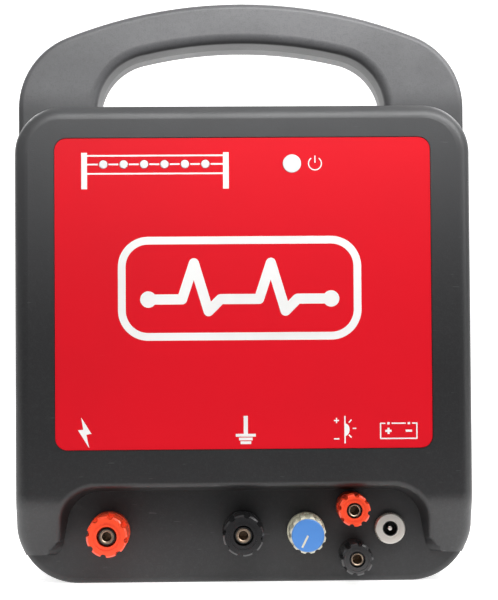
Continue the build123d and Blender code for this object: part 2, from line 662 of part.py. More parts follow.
def display_board():
    back = DISPLAY_FRONT - BOARD_THICK
    board = block(DISPLAY_LEFT, DISPLAY_RIGHT, DISPLAY_LOW, DISPLAY_HIGH, back, DISPLAY_FRONT)
    for x, y in DISPLAY_BOSSES:
        board = board - disc(BOARD_SCREW_R + 0.2, back - 1, DISPLAY_FRONT + 1, x, y)
    return board


def board_screw(x, y, seat, out):
    """A small pan-head screw whose head sits on seat; out is +1 when the head faces the front."""
    head = seat + out * BOARD_HEAD_H
    tip = seat - out * BOARD_SCREW_L
    screw = disc(BOARD_SCREW_R, min(seat, tip), max(seat, tip), x, y)
    return screw + disc(BOARD_HEAD_R, min(seat, head), max(seat, head), x, y)


def board_screws():
    screws = [board_screw(x, y, BOARD_FRONT, 1) for x, y in board_corners()]
    return screws + [board_screw(x, y, DISPLAY_FRONT - BOARD_THICK, -1) for x, y in DISPLAY_BOSSES]


def output_transformer():
    """Laminated core with two windows, its winding on the middle limb, and the strap over it."""
    x, y = TRANSFORMER_X, TRANSFORMER_Y
    half, stack, high, limb = CORE_WIDTH / 2, CORE_STACK / 2, CORE_HEIGHT, CORE_LIMB
    z = BOARD_FRONT
    core = block(x - half, x + half, y - stack, y + stack, z, z + high)
    for side in (-1, 1):
        near, far = sorted((x + side * limb, x + side * (half - limb)))
        core = core - block(near, far, y - stack - 1, y + stack + 1, z + limb, z + high - limb)
    wind = half - limb - 0.3
    coil = block(x - wind, x + wind, y - stack - COIL_BULGE, y + stack + COIL_BULGE,
                 z + limb + 0.3, z + high - limb - 0.3)
    coil = fillet(coil.edges().filter_by(Axis.Z), 3.0)
    coil = coil - block(x - limb, x + limb, y - stack, y + stack, z, z + high)
    strap = block(x - half - 1, x + half + 1, y - stack + 2, y + stack - 2, z, z + high + 1)
    strap = strap + block(x - half - STRAP_FOOT, x + half + STRAP_FOOT, y - stack + 2, y + stack - 2,
                          z, z + 1)
    strap = strap - block(x - half, x + half, y - stack, y + stack, z - 1, z + high)
    return {"transformer_core": core, "transformer_coil": coil, "transformer_strap": strap}


def board_parts():
    """What stands on the main board beside the output transformer."""
    z = BOARD_FRONT
    can = disc(STORE_R, z, z + STORE_H, *STORE_AT)
    can = fillet(rims(can, z + STORE_H), 1.5)
    small = disc(8.0, z, z + 21, *INPUT_CAP_AT)
    small = fillet(rims(small, z + 21), 1.0)
    fx, fy = FLYBACK_AT
    flyback = block(fx - 11, fx + 11, fy - 9, fy + 9, z, z + 4)
    flyback = flyback + block(fx - 10, fx + 10, fy - 5, fy + 5, z + 4, z + 20)
    flyback = flyback + block(fx - 7, fx + 7, fy - 8.5, fy + 8.5, z + 4, z + 17)
    hx, hy = SINK_AT
    sink = block(hx - 16, hx + 16, hy, hy + 2, z, z + 26)
    for i in range(SINK_FINS):
        fin = hx - 15.2 + 30.4 * i / (SINK_FINS - 1)
        sink = sink + block(fin - 0.6, fin + 0.6, hy + 2, hy + 11, z, z + 26)
    switch = block(hx - 5, hx + 5, hy - 4.4, hy - 1.2, z + 5, z + 14)
    switch = switch + block(hx - 5, hx + 5, hy - 1.2, hy, z + 5, z + 20)
    for dx in (-2.5, 0, 2.5):
        switch = switch + block(hx + dx - 0.4, hx + dx + 0.4, hy - 2.6, hy - 1.8, z, z + 5)
    cx, cy = CHIP_AT
    chip = block(cx - 9, cx + 9, cy - 3.5, cy + 3.5, z, z + 3.4)
    return {"storage_capacitor": can, "input_capacitor": small, "flyback_transformer": flyback,
            "heatsink": sink, "thyristor": switch, "controller_chip": chip}


# ---- leads -----------------------------------------------------------------------------------------------
def lead(*points):
    """A round lead along straight runs joined by bends."""
    route = FilletPolyline(*points, radius=LEAD_BEND)
    return sweep(Plane(origin=route @ 0, z_dir=route % 0) * Circle(LEAD_R), path=route)


def tag_level():
    return PANEL_BACK - BUSH_H - NUT_H - TAG_H / 2


def post_lead(name):
    """From the top of a terminal's ring tag back and up into its plug on the main board."""
    x, y, size = TERMINALS[name]
    z, low = tag_level(), PLUG_Z
    return lead((x, y + SIZES[size]["tag"], z), (x, LEAD_RISE, z), (x, LEAD_RISE, low), (x, PLUG_LOW, low))


def side_post_lead(name):
    """The lower solar terminal's lead leaves sideways, under the other one."""
    x, y, size = TERMINALS[name]
    z, low, out = tag_level(), PLUG_Z, MINUS_PLUG_X
    return lead((x - SIZES[size]["tag"], y, z), (out, y, z), (out, y, low), (out, PLUG_LOW, low))


def jack_lead(dx):
    back = PANEL_BACK - JACK_BODY_H - JACK_TAB
    x = JACK_X + dx
    return lead((x, JACK_Y, back), (x, JACK_Y, PLUG_Z), (x, PLUG_LOW, PLUG_Z))


def knob_lead(dx):
    x = KNOB_X + dx
    z = PANEL_BACK - POT_H + 1.4
    return lead((x, KNOB_Y + POT_R + LUG_LENGTH, z), (x, LEAD_RISE, z), (x, LEAD_RISE, PLUG_Z),
                (x, PLUG_LOW, PLUG_Z))


def display_lead():
    """From the back of the display board down to the main board."""
    x, y = DISPLAY_LEAD_AT
    back = DISPLAY_FRONT - BOARD_THICK
    return lead((x, y, back), (x, y, DISPLAY_LEAD_Z), (x, BOARD_TOP - 8, DISPLAY_LEAD_Z),
                (x, BOARD_TOP - 8, BOARD_FRONT))


def plug(x0, x1):
    """A plug housing on the lower edge of the main board."""
    return block(x0 - PLUG_MARGIN, x1 + PLUG_MARGIN, PLUG_LOW, PLUG_LOW + 8, BOARD_FRONT, PLUG_Z + 3)


def lead_plugs():
    at = {name: TERMINALS[name][0] for name in TERMINALS}
    spans = [(at["fence_post"],) * 2, (at["earth_post"],) * 2, (MINUS_PLUG_X,) * 2,
             (KNOB_X + LUG_X[0], KNOB_X + LUG_X[-1]), (at["solar_plus_post"],) * 2,
             (JACK_X - JACK_TAB_X, JACK_X + JACK_TAB_X)]
    return [plug(*span) for span in spans]


# ---- the whole object ----------------------------------------------------------------------------------------
def build():
    """Every node's shape in the face frame, by name."""
    nodes = {
        "front_shell": front_shell(),
        "rear_shell": rear_shell(),
        "shell_gasket": gasket_band(-GASKET_DEPTH, 0),
        "shell_screws": [shell_screw(x, y) for x, y in mirrored(SHELL_SCREWS)],
        "label": front_label(),
        "status_lens": status_lens(),
        "status_led": status_led(),
        "level_lamps": [level_lamp(x) for x in level_places()],
        "knob_body": knob_body(),
        "knob_cap": knob_cap(),
        "main_board": main_board(),
        "display_board": display_board(),
        "board_screws": board_screws(),
        "lead_plugs": lead_plugs(),
        "fence_lead": post_lead("fence_post"),
        "earth_lead": post_lead("earth_post"),
        "supply_leads": [post_lead("solar_plus_post"), side_post_lead("solar_minus_post"),
                         jack_lead(-JACK_TAB_X), jack_lead(JACK_TAB_X)],
        "signal_leads": [knob_lead(dx) for dx in LUG_X] + [display_lead()],
    }
    nodes.update(pot_parts())
    nodes.update(jack_parts())
    nodes.update(output_transformer())
    nodes.update(board_parts())
    shared = {}
    for name, (x, y, size) in TERMINALS.items():
        for piece, shape in terminal(x, y, size).items():
            if piece in ("stop_rings", "rear_bushes"):
                shared.setdefault(f"{size}_{piece}", []).append(shape)
            else:
                nodes[f"{name}_{piece}"] = shape
        shared.setdefault(f"{size}_post_nuts", []).extend(terminal_nuts(x, y, size))
        turn = 90 if name == "solar_minus_post" else 0
        shared.setdefault("ring_tags", []).append(ring_tag(x, y, size, turn))
    nodes.update(shared)
    return nodes


def main():
    os.makedirs("parts", exist_ok=True)
    for name, shape in build().items():
        pieces = shape if isinstance(shape, list) else [shape]
        solids = [solid for piece in pieces for solid in stand_up(piece).solids()]
        whole = Compound(children=solids) if len(solids) > 1 else solids[0]
        export_step(whole, f"parts/{name}.step")


if __name__ == "__main__":
    main()
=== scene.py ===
"""Looks of a portable electric fence energizer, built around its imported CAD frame."""

import json
from math import cos, pi, radians, sin

import bmesh
import bpy
from bpy.props import FloatProperty, FloatVectorProperty, IntProperty, PointerProperty
from bpy.types import Operator, Panel, PropertyGroup
from mathutils import Matrix, Vector
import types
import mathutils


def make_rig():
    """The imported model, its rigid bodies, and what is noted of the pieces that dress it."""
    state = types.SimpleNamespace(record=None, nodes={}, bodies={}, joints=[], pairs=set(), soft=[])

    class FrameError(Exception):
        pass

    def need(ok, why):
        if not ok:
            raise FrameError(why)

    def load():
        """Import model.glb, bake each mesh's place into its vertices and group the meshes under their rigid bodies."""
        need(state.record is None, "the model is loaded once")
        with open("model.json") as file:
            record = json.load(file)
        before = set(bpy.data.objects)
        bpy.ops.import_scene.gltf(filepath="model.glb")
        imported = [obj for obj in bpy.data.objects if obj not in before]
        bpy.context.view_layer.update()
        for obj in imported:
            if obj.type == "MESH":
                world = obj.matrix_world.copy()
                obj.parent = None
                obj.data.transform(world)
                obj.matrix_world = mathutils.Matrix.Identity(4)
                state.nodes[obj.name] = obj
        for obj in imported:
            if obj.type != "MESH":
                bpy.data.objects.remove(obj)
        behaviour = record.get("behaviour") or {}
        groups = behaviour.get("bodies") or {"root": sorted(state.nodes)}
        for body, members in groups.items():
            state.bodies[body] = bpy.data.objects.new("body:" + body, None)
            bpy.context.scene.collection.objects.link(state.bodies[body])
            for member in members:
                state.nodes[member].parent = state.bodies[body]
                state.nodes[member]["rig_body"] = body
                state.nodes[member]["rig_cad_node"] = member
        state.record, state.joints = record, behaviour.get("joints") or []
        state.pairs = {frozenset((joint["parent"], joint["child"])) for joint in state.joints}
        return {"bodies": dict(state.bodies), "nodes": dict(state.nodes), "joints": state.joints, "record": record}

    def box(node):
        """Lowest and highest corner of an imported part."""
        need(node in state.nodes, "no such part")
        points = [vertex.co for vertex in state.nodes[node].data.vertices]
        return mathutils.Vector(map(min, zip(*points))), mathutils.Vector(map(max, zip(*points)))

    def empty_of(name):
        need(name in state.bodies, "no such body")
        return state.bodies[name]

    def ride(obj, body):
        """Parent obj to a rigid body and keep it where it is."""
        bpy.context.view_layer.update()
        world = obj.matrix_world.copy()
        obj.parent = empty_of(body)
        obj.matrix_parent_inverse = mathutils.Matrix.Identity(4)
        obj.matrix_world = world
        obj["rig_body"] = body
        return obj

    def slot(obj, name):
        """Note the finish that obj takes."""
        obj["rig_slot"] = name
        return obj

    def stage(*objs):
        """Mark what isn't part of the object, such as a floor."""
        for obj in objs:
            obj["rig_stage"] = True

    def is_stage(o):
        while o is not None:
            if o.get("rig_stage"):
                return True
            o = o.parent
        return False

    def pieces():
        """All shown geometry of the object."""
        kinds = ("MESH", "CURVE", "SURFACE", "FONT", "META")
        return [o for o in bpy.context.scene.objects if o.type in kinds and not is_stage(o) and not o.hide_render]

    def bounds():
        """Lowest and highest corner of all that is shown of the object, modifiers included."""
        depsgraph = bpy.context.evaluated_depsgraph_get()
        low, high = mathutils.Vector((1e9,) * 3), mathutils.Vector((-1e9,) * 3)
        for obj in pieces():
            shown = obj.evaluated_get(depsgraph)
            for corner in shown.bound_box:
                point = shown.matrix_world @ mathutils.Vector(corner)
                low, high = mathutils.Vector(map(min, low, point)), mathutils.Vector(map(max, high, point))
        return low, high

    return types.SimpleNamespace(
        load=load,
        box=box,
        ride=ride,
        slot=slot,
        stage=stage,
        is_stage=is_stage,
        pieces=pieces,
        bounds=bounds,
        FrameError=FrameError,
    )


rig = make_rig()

bl_info = {
    "name": "Fence Energizer",
    "version": (1, 0, 0),
    "blender": (4, 5, 0),
    "location": "View3D > Sidebar > Energizer",
    "description": "Finishes the energizer's case, label, terminals, knob, jack and insides",
    "category": "Object",
}

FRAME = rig.load()
NODES = FRAME["nodes"]
CAD_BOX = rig.bounds()
TOP = CAD_BOX[1][2]
MM = 0.001

PAINTED_LIGHT_FROM = 90 * MM  # height above which the case is painted lighter, a painted light from above
HANDLE_LIGHT_EDGE = (200 * MM, 214 * MM)  # heights between which the handle's painted light takes over
COAT_ROUGHNESS = 0.12
PLATE_STEP, PLATE_STEPS = 0.004 * MM, 7  # neighbouring plates of ink differ in height by a step
RING_STEPS = 48  # points round a printed disc


def middle(node):
    low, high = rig.box(node)
    return (low + high) / 2


LABEL_LOW, LABEL_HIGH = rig.box("label")
LABEL_FACE = LABEL_LOW.y
LAMPS_LOW, LAMPS_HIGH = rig.box("level_lamps")
JACK_LOW, JACK_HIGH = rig.box("dc_jack_nut")


# ---- settings --------------------------------------------------------------------------------
def colour(name, description, default):
    return FloatVectorProperty(name=name, description=description, default=default, size=3,
                               min=0.0, max=1.0, subtype="COLOR")


def length(name, description, default):
    return FloatProperty(name=name, description=description, default=default, unit="LENGTH")


def share(name, description, default):
    return FloatProperty(name=name, description=description, default=default, min=0.0, max=1.0,
                         subtype="FACTOR")


class CaseLook(PropertyGroup):
    plastic: colour("Plastic", "Colour of both shells", (0.017, 0.0172, 0.0181))
    worn: colour("Worn plastic", "Colour of scuffed plastic", (0.30, 0.30, 0.31))
    roughness: share("Roughness", "Roughness of the moulded face", 0.41)
    grain: share("Grain", "Depth of the moulded grain", 0.50)
    seam: length("Seam", "Half the width of the dark line where the shells meet", 0.00022)
    # painted light: the case's colour towards the top, lighter to stand in for the light from above
    lightened: colour("Lightened", "Colour that light has faded the plastic to, towards the top",
                  (0.075, 0.076, 0.079))
    # painted light: the handle's colour is lighter to stand in for the top light falling on it
    handle: colour("Handle", "Colour of the plastic on the handle", (0.125, 0.125, 0.130))


class LabelLook(PropertyGroup):
    film: colour("Film", "Colour of the label's film", (0.66, 0.004, 0.014))
    ink: colour("Ink", "Colour of the printed signs", (0.86, 0.86, 0.85))
    ink_height: length("Ink height", "How far the ink stands off the film", 0.00005)
    line: length("Line", "Width of the thin printed lines", 0.0009)


class TerminalLook(PropertyGroup):
    red: colour("Red", "Colour of the red caps and collars", (0.88, 0.070, 0.020))
    black: colour("Black", "Colour of the black caps and collars", (0.012, 0.012, 0.013))
    stud: colour("Stud", "Colour of the studs", (0.40, 0.31, 0.23))
    thread: length("Thread", "Pitch of the thread drawn on the studs", 0.001)


class KnobLook(PropertyGroup):
    cap: colour("Cap", "Colour of the knob's cap", (0.070, 0.235, 0.610))
    body: colour("Body", "Colour of the fluted body and its pointer", (0.64, 0.62, 0.49))


class JackLook(PropertyGroup):
    teeth: IntProperty(name="Teeth", description="Teeth of the nut's knurl", default=44, min=8)
    tooth: length("Tooth", "Depth of one tooth", 0.00022)


class StageLook(PropertyGroup):
    floor: colour("Floor", "Colour of the floor", (0.93, 0.93, 0.93))
    top_power: FloatProperty(name="Top light", description="Power of the light above", default=2.2,
                             min=0.0, unit="POWER")
    side_power: FloatProperty(name="Side lights", description="Power of each side light",
                              default=0.6, min=0.0, unit="POWER")
    front_power: FloatProperty(name="Front light", description="Power of the light by the camera",
                               default=0.25, min=0.0, unit="POWER")
    rim_power: FloatProperty(name="Rim light", description="Power of the strip behind the handle",
                             default=1.7, min=0.0, unit="POWER")
    sky: FloatProperty(name="Sky", description="Strength of the even light from above",
                       default=0.45, min=0.0)
    horizon: FloatProperty(name="Horizon", description="Strength of the even light from the sides",
                           default=0.08, min=0.0)
    glow: FloatProperty(name="Glow", description="Light that the floor gives off", default=0.80,
                        min=0.0)


# ---- shader groups ---------------------------------------------------------------------------
def shader_group(name, inputs, outputs):
    """A new shader group with its group nodes; a socket is given as (name, type, default)."""
    tree = bpy.data.node_groups.new(name, "ShaderNodeTree")
    for side, sockets in (("INPUT", inputs), ("OUTPUT", outputs)):
        for title, kind, default in sockets:
            socket = tree.interface.new_socket(title, in_out=side, socket_type=kind)
            if default is not None:
                socket.default_value = default
    return tree, tree.nodes.new("NodeGroupInput"), tree.nodes.new("NodeGroupOutput")


def wire(tree, *pairs):
    for start, end in pairs:
        tree.links.new(start, end)


def maths(tree, operation, a, b=None, c=None):
    """A Math node fed by sockets or numbers; gives its output socket."""
    node = tree.nodes.new("ShaderNodeMath")
    node.operation = operation
    for slot, value in zip(node.inputs, (a, b, c)):
        if value is None:
            continue
        if isinstance(value, (int, float)):
            slot.default_value = value
        else:
            tree.links.new(value, slot)
    return node.outputs[0]


def noise(tree, vector, scale, detail):
    """A Noise Texture's value; its scale is a number or a socket."""
    node = tree.nodes.new("ShaderNodeTexNoise")
    node.inputs["Detail"].default_value = detail
    if isinstance(scale, (int, float)):
        node.inputs["Scale"].default_value = scale
    else:
        tree.links.new(scale, node.inputs["Scale"])
    tree.links.new(vector, node.inputs["Vector"])
    return node.outputs["Fac"]


def ramp(tree, value, low, high):
    """Value mapped smoothly from low..high to 0..1."""
    node = tree.nodes.new("ShaderNodeMapRange")
    node.interpolation_type = "SMOOTHSTEP"
    node.inputs["From Min"].default_value = low
    node.inputs["From Max"].default_value = high
    tree.links.new(value, node.inputs["Value"])
    return node.outputs["Result"]


def moulded_grain_group():
    """Fine spark-eroded grain, and a slow mottle of the same surface."""
    coarse_scale, mottle_scale, fine_share = 0.4, 0.02, 0.6
    tree, given, made = shader_group(
        "Moulded Grain",
        [("Vector", "NodeSocketVector", None), ("Scale", "NodeSocketFloat", 1600.0)],
        [("Height", "NodeSocketFloat", None), ("Mottle", "NodeSocketFloat", None)])
    vector, scale = given.outputs["Vector"], given.outputs["Scale"]
    fine = noise(tree, vector, scale, 2.0)
    coarse = noise(tree, vector, maths(tree, "MULTIPLY", scale, coarse_scale), 2.0)
    height = maths(tree, "ADD", maths(tree, "MULTIPLY", fine, fine_share),
                   maths(tree, "MULTIPLY", coarse, 1.0 - fine_share))
    mottle = noise(tree, vector, maths(tree, "MULTIPLY", scale, mottle_scale), 4.0)
    wire(tree, (height, made.inputs["Height"]), (mottle, made.inputs["Mottle"]))
    return tree


def scuff_group():
    """Short faint scratches and pale specks, as one mask."""
    scratch_turn, scratch_stretch = (0.3, 0.6, 0.2), (1.0, 1.0, 7.0)
    scratch_edge, scratch_strength = (0.745, 0.79), 0.35
    speck_edge, speck_scale, patch_edge = (0.955, 0.985), 4.0, (0.5, 0.62)
    tree, given, made = shader_group(
        "Scuffs",
        [("Vector", "NodeSocketVector", None), ("Scale", "NodeSocketFloat", 40.0),
         ("Amount", "NodeSocketFloat", 0.5)],
        [("Mask", "NodeSocketFloat", None)])
    vector, scale = given.outputs["Vector"], given.outputs["Scale"]
    turn = tree.nodes.new("ShaderNodeMapping")
    turn.inputs["Rotation"].default_value = scratch_turn
    turn.inputs["Scale"].default_value = scratch_stretch
    wire(tree, (vector, turn.inputs["Vector"]))
    streak = noise(tree, turn.outputs["Vector"], scale, 1.0)
    scratch = maths(tree, "MULTIPLY", ramp(tree, streak, *scratch_edge), scratch_strength)
    spots = tree.nodes.new("ShaderNodeTexVoronoi")
    wire(tree, (vector, spots.inputs["Vector"]),
         (maths(tree, "MULTIPLY", scale, speck_scale), spots.inputs["Scale"]))
    speck = ramp(tree, maths(tree, "SUBTRACT", 1.0, spots.outputs["Distance"]), *speck_edge)
    patchy = ramp(tree, noise(tree, vector, scale, 2.0), *patch_edge)
    marks = maths(tree, "MAXIMUM", scratch, maths(tree, "MULTIPLY", speck, patchy))
    mask = maths(tree, "MULTIPLY", marks, given.outputs["Amount"])
    wire(tree, (mask, made.inputs["Mask"]))
    return tree


def seam_group():
    """The dark line along the plane where the two shells meet."""
    soft_edge = (0.6, 1.4)  # in half widths
    tree, given, made = shader_group(
        "Parting Seam",
        [("Vector", "NodeSocketVector", None), ("Half Width", "NodeSocketFloat", 0.0002)],
        [("Mask", "NodeSocketFloat", None)])
    split = tree.nodes.new("ShaderNodeSeparateXYZ")
    wire(tree, (given.outputs["Vector"], split.inputs[0]))
    away = maths(tree, "DIVIDE", maths(tree, "ABSOLUTE", split.outputs["Y"]),
                 given.outputs["Half Width"])
    mask = maths(tree, "SUBTRACT", 1.0, ramp(tree, away, *soft_edge))
    wire(tree, (mask, made.inputs["Mask"]))
    return tree


def dust_group():
    """A thin veil of dust on whatever faces up."""
    up_edge, cloud_edge, cloud_scale = (0.35, 1.0), (0.35, 0.75), 60.0
    tree, given, made = shader_group(
        "Settled Dust",
        [("Vector", "NodeSocketVector", None), ("Amount", "NodeSocketFloat", 0.15)],
        [("Mask", "NodeSocketFloat", None)])
    facing = tree.nodes.new("ShaderNodeNewGeometry")
    split = tree.nodes.new("ShaderNodeSeparateXYZ")
    wire(tree, (facing.outputs["Normal"], split.inputs[0]))
    up = ramp(tree, split.outputs["Z"], *up_edge)
    cloud = ramp(tree, noise(tree, given.outputs["Vector"], cloud_scale, 5.0), *cloud_edge)
    mask = maths(tree, "MULTIPLY", maths(tree, "MULTIPLY", up, cloud), given.outputs["Amount"])
    wire(tree, (mask, made.inputs["Mask"]))
    return tree


GROUPS = {}


def shader_groups():
    """The shared groups, made once."""
    if not GROUPS:
        GROUPS.update(grain=moulded_grain_group(), scuffs=scuff_group(), seam=seam_group(),
                      dust=dust_group())
    return GROUPS


# ---- materials -------------------------------------------------------------------------------
class Finish:
    """A Principled material whose colour is built up layer by layer."""

    def __init__(self, name, base, roughness, metallic=0.0, coat=0.0, specular=0.5):
        self.material = bpy.data.materials.new(name)
        self.material.use_nodes = True
        self.material.diffuse_color = (*base, 1.0)
        self.tree = self.material.node_tree
        self.shader = self.tree.nodes["Principled BSDF"]
        self.shader.inputs["Base Color"].default_value = (*base, 1.0)
        self.shader.inputs["Roughness"].default_value = roughness
        self.shader.inputs["Metallic"].default_value = metallic
        self.shader.inputs["Coat Weight"].default_value = coat
        self.shader.inputs["Coat Roughness"].default_value = COAT_ROUGHNESS
        self.shader.inputs["Specular IOR Level"].default_value = specular
        self.vector = self.tree.nodes.new("ShaderNodeTexCoord").outputs["Object"]
        self.colour = None
        self.base = (*base, 1.0)
        self.roughness = roughness

    def group(self, key, **values):
        """One of the shared groups, placed here with its own values."""
        node = self.tree.nodes.new("ShaderNodeGroup")
        node.node_tree = shader_groups()[key]
        self.tree.links.new(self.vector, node.inputs["Vector"])
        for title, value in values.items():
            node.inputs[title.replace("_", " ").title()].default_value = value
        return node

    def tint(self, mask, other, strength=1.0):
        """Mixes another colour over what is there, by a mask."""
        mix = self.tree.nodes.new("ShaderNodeMix")
        mix.data_type = "RGBA"
        mix.inputs["A"].default_value = self.base
        mix.inputs["B"].default_value = (*other, 1.0)
        if self.colour is not None:
            self.tree.links.new(self.colour, mix.inputs["A"])
        self.tree.links.new(maths(self.tree, "MULTIPLY", mask, strength), mix.inputs["Factor"])
        self.colour = mix.outputs["Result"]
        self.tree.links.new(self.colour, self.shader.inputs["Base Color"])

    def mottle(self, surface, edge, other, strength):
        """Tints the patches where a grain group's slow mottle passes an edge."""
        self.tint(ramp(self.tree, surface.outputs["Mottle"], *edge), other, strength)

    def scuffs(self, other, scale, amount):
        """Tints scratches and specks."""
        self.tint(self.group("scuffs", scale=scale, amount=amount).outputs["Mask"], other)

    def vary_roughness(self, mask, change):
        """Lets the roughness follow a mask around its own value."""
        offset = maths(self.tree, "SUBTRACT", mask, 0.5)
        value = maths(self.tree, "MULTIPLY_ADD", offset, change, self.roughness)
        self.tree.links.new(value, self.shader.inputs["Roughness"])

    def bump(self, height, strength, distance):
        node = self.tree.nodes.new("ShaderNodeBump")
        node.inputs["Strength"].default_value = strength
        node.inputs["Distance"].default_value = distance
        self.tree.links.new(height, node.inputs["Height"])
        self.tree.links.new(node.outputs["Normal"], self.shader.inputs["Normal"])

    def bands(self, scale, axis):
        """Straight bands across an axis, such as laminations or a thread."""
        node = self.tree.nodes.new("ShaderNodeTexWave")
        node.bands_direction = axis
        node.inputs["Scale"].default_value = scale
        node.inputs["Distortion"].default_value = 0.0
        self.tree.links.new(self.vector, node.inputs["Vector"])
        return node.outputs["Fac"]


def shade(tint, factor):
    return tuple(min(1.0, part * factor) for part in tint)


def case_plastic(look):
    """Satin charcoal plastic with a fine moulded grain, scuffs, dust and the parting seam; painted light makes it
    lighter towards the top and lighter still on the handle, and a painted sparkle lightens the grain's high points.
    """
    finish = Finish("charcoal_case_plastic", look.plastic, look.roughness)
    tree = finish.tree
    grain = finish.group("grain", scale=1500.0)
    split = tree.nodes.new("ShaderNodeSeparateXYZ")
    wire(tree, (finish.vector, split.inputs[0]))
    # painted light: the case is painted lighter towards the top, standing in for the light from above
    finish.tint(ramp(tree, split.outputs["Z"], PAINTED_LIGHT_FROM, TOP), look.lightened)
    # painted light: the handle is painted lighter still, standing in for the top light falling on it
    finish.tint(ramp(tree, split.outputs["Z"], *HANDLE_LIGHT_EDGE), look.handle)
    finish.mottle(grain, (0.3, 0.7), shade(look.plastic, 0.86), strength=0.25)
    # painted sparkle: the grain's high points are painted lighter, standing in for light catching them
    sparkle_peaks = ramp(tree, grain.outputs["Height"], 0.42, 0.70)
    finish.tint(sparkle_peaks, shade(look.plastic, 2.6), strength=0.30)
    finish.tint(finish.group("dust", amount=0.10).outputs["Mask"], (0.32, 0.31, 0.29))
    finish.scuffs(look.worn, scale=150.0, amount=0.28)
    finish.tint(finish.group("seam", half_width=look.seam).outputs["Mask"],
                shade(look.plastic, 0.25))
    finish.vary_roughness(grain.outputs["Mottle"], change=0.16)
    finish.bump(grain.outputs["Height"], look.grain, distance=0.12 * MM)
    return finish.material


def moulded(name, base, roughness, coat=0.0, grain=900.0, depth=0.12, wear=0.25):
    """Smooth moulded plastic: faint grain, slow colour drift, small scuffs."""
    finish = Finish(name, base, roughness, coat=coat)
    surface = finish.group("grain", scale=grain)
    finish.mottle(surface, (0.3, 0.7), shade(base, 0.82), strength=0.5)
    is_dark = max(base) <= 0.2
    scuffed = (0.12, 0.12, 0.12) if is_dark else shade(base, 1.6)
    finish.scuffs(scuffed, scale=260.0, amount=wear)
    finish.vary_roughness(surface.outputs["Mottle"], change=0.14)
    finish.bump(surface.outputs["Height"], depth, distance=0.08 * MM)
    return finish.material


def metal(name, base, roughness, band=None, axis="Y", depth=0.25, tarnish=0.35):
    """Plated or machined metal with tarnish and, where band is given, turned lines or a thread."""
    finish = Finish(name, base, roughness, metallic=1.0)
    surface = finish.group("grain", scale=1200.0)
    finish.mottle(surface, (0.4, 0.75), shade(base, 0.62), strength=tarnish)
    finish.vary_roughness(surface.outputs["Mottle"], change=0.2)
    height = finish.bands(band, axis) if band else surface.outputs["Height"]
    finish.bump(height, depth, distance=0.1 * MM)
    return finish.material


def label_film(look):
    """Printed film: even red with a very fine orange peel."""
    finish = Finish("red_label_film", look.film, roughness=0.45, specular=0.22)
    surface = finish.group("grain", scale=700.0)
    finish.mottle(surface, (0.3, 0.75), shade(look.film, 0.88), strength=0.5)
    finish.scuffs((0.9, 0.35, 0.33), scale=240.0, amount=0.05)
    finish.vary_roughness(surface.outputs["Mottle"], change=0.10)
    finish.bump(surface.outputs["Height"], strength=0.10, distance=0.06 * MM)
    return finish.material


def circuit_board():
    """Green solder mask with tracks and pads under it."""
    finish = Finish("green_circuit_board", (0.012, 0.105, 0.040), roughness=0.32, coat=0.3)
    tracks = finish.tree.nodes.new("ShaderNodeTexBrick")
    tracks.inputs["Scale"].default_value = 160.0
    tracks.inputs["Mortar Size"].default_value = 0.035
    flat = finish.tree.nodes.new("ShaderNodeMapping")
    flat.inputs["Rotation"].default_value = (pi / 2, 0, 0)
    wire(finish.tree, (finish.vector, flat.inputs["Vector"]),
         (flat.outputs["Vector"], tracks.inputs["Vector"]))
    finish.tint(tracks.outputs["Fac"], (0.05, 0.27, 0.10), strength=0.8)
    surface = finish.group("grain", scale=300.0)
    finish.mottle(surface, (0.5, 0.6), (0.02, 0.15, 0.06), strength=0.6)
    finish.bump(tracks.outputs["Fac"], strength=0.3, distance=0.05 * MM)
    return finish.material


def banded(name, base, other, scale, axis, roughness, metallic):
    """Alternating bands of two colours, as laminations or wound turns show."""
    finish = Finish(name, base, roughness, metallic=metallic)
    lines = finish.bands(scale, axis)
    surface = finish.group("grain", scale=500.0)
    finish.tint(lines, other, strength=0.8)
    finish.mottle(surface, (0.4, 0.7), shade(base, 0.7), strength=0.5)
    finish.bump(lines, strength=0.5, distance=0.3 * MM)
    return finish.material


def clad(material, *names):
    """Gives CAD nodes a material."""
    for name in names:
        mesh = NODES[name].data
        mesh.materials.clear()
        mesh.materials.append(material)


# ---- mesh helpers ----------------------------------------------------------------------------
def new_piece(name, mesh, material, body="case", slot=None):
    """A finished piece at the origin, riding on a body."""
    piece = bpy.data.objects.new(name, mesh)
    bpy.context.scene.collection.objects.link(piece)
    if material is not None:
        mesh.materials.clear()
        mesh.materials.append(material)
    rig.ride(piece, body)
    if slot:
        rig.slot(piece, slot)
    return piece


